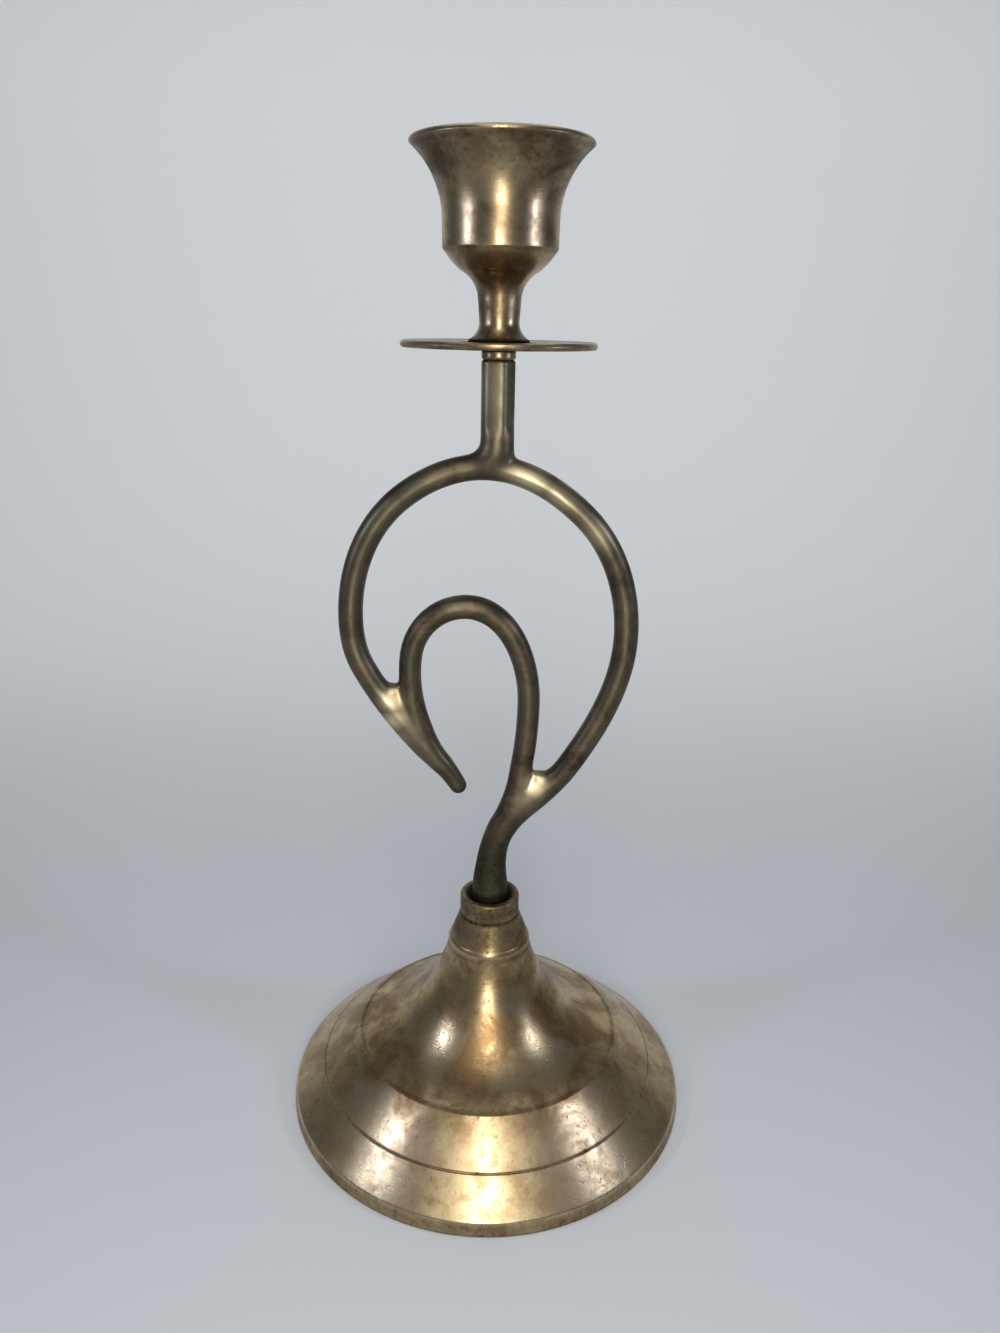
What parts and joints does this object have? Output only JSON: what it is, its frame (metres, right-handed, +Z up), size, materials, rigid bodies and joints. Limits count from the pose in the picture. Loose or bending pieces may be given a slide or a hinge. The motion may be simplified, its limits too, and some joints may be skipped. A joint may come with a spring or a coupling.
{
  "type": "spiral candle holder",
  "caption": "Brass table candlestick: hollow bell foot, stem bent into an open ring with an inner scroll, round drip pan and flared cup for a taper candle.",
  "frame": {"origin": "middle of the circle that the base stands on, at table height", "axes": "+Z up along the shared axis of base, post, pan and cup; +X to the right of the ring seen from the front, on the side where the stem's foot swings out; +Y away from the viewer, square to the flat plane of the ring"},
  "size_m": [0.1118, 0.1118, 0.2503],
  "materials": {
    "turned_brass": "turned brass, aged to a brown olive tone with light tarnish spots and a soft polish",
    "cast_brass": "cast brass, hand finished, darker and softer than the turned pieces",
    "steel": "plain dull steel of hidden fixings"
  },
  "bodies": {
    "root": {"base": "turned_brass", "loop_stem": "cast_brass", "stem_washer": "turned_brass", "drip_pan": "turned_brass", "candle_cup": "turned_brass", "cup_stud": "steel", "foot_stud": "steel", "foot_washer": "steel", "foot_nut": "steel"}
  },
  "joints": []
}
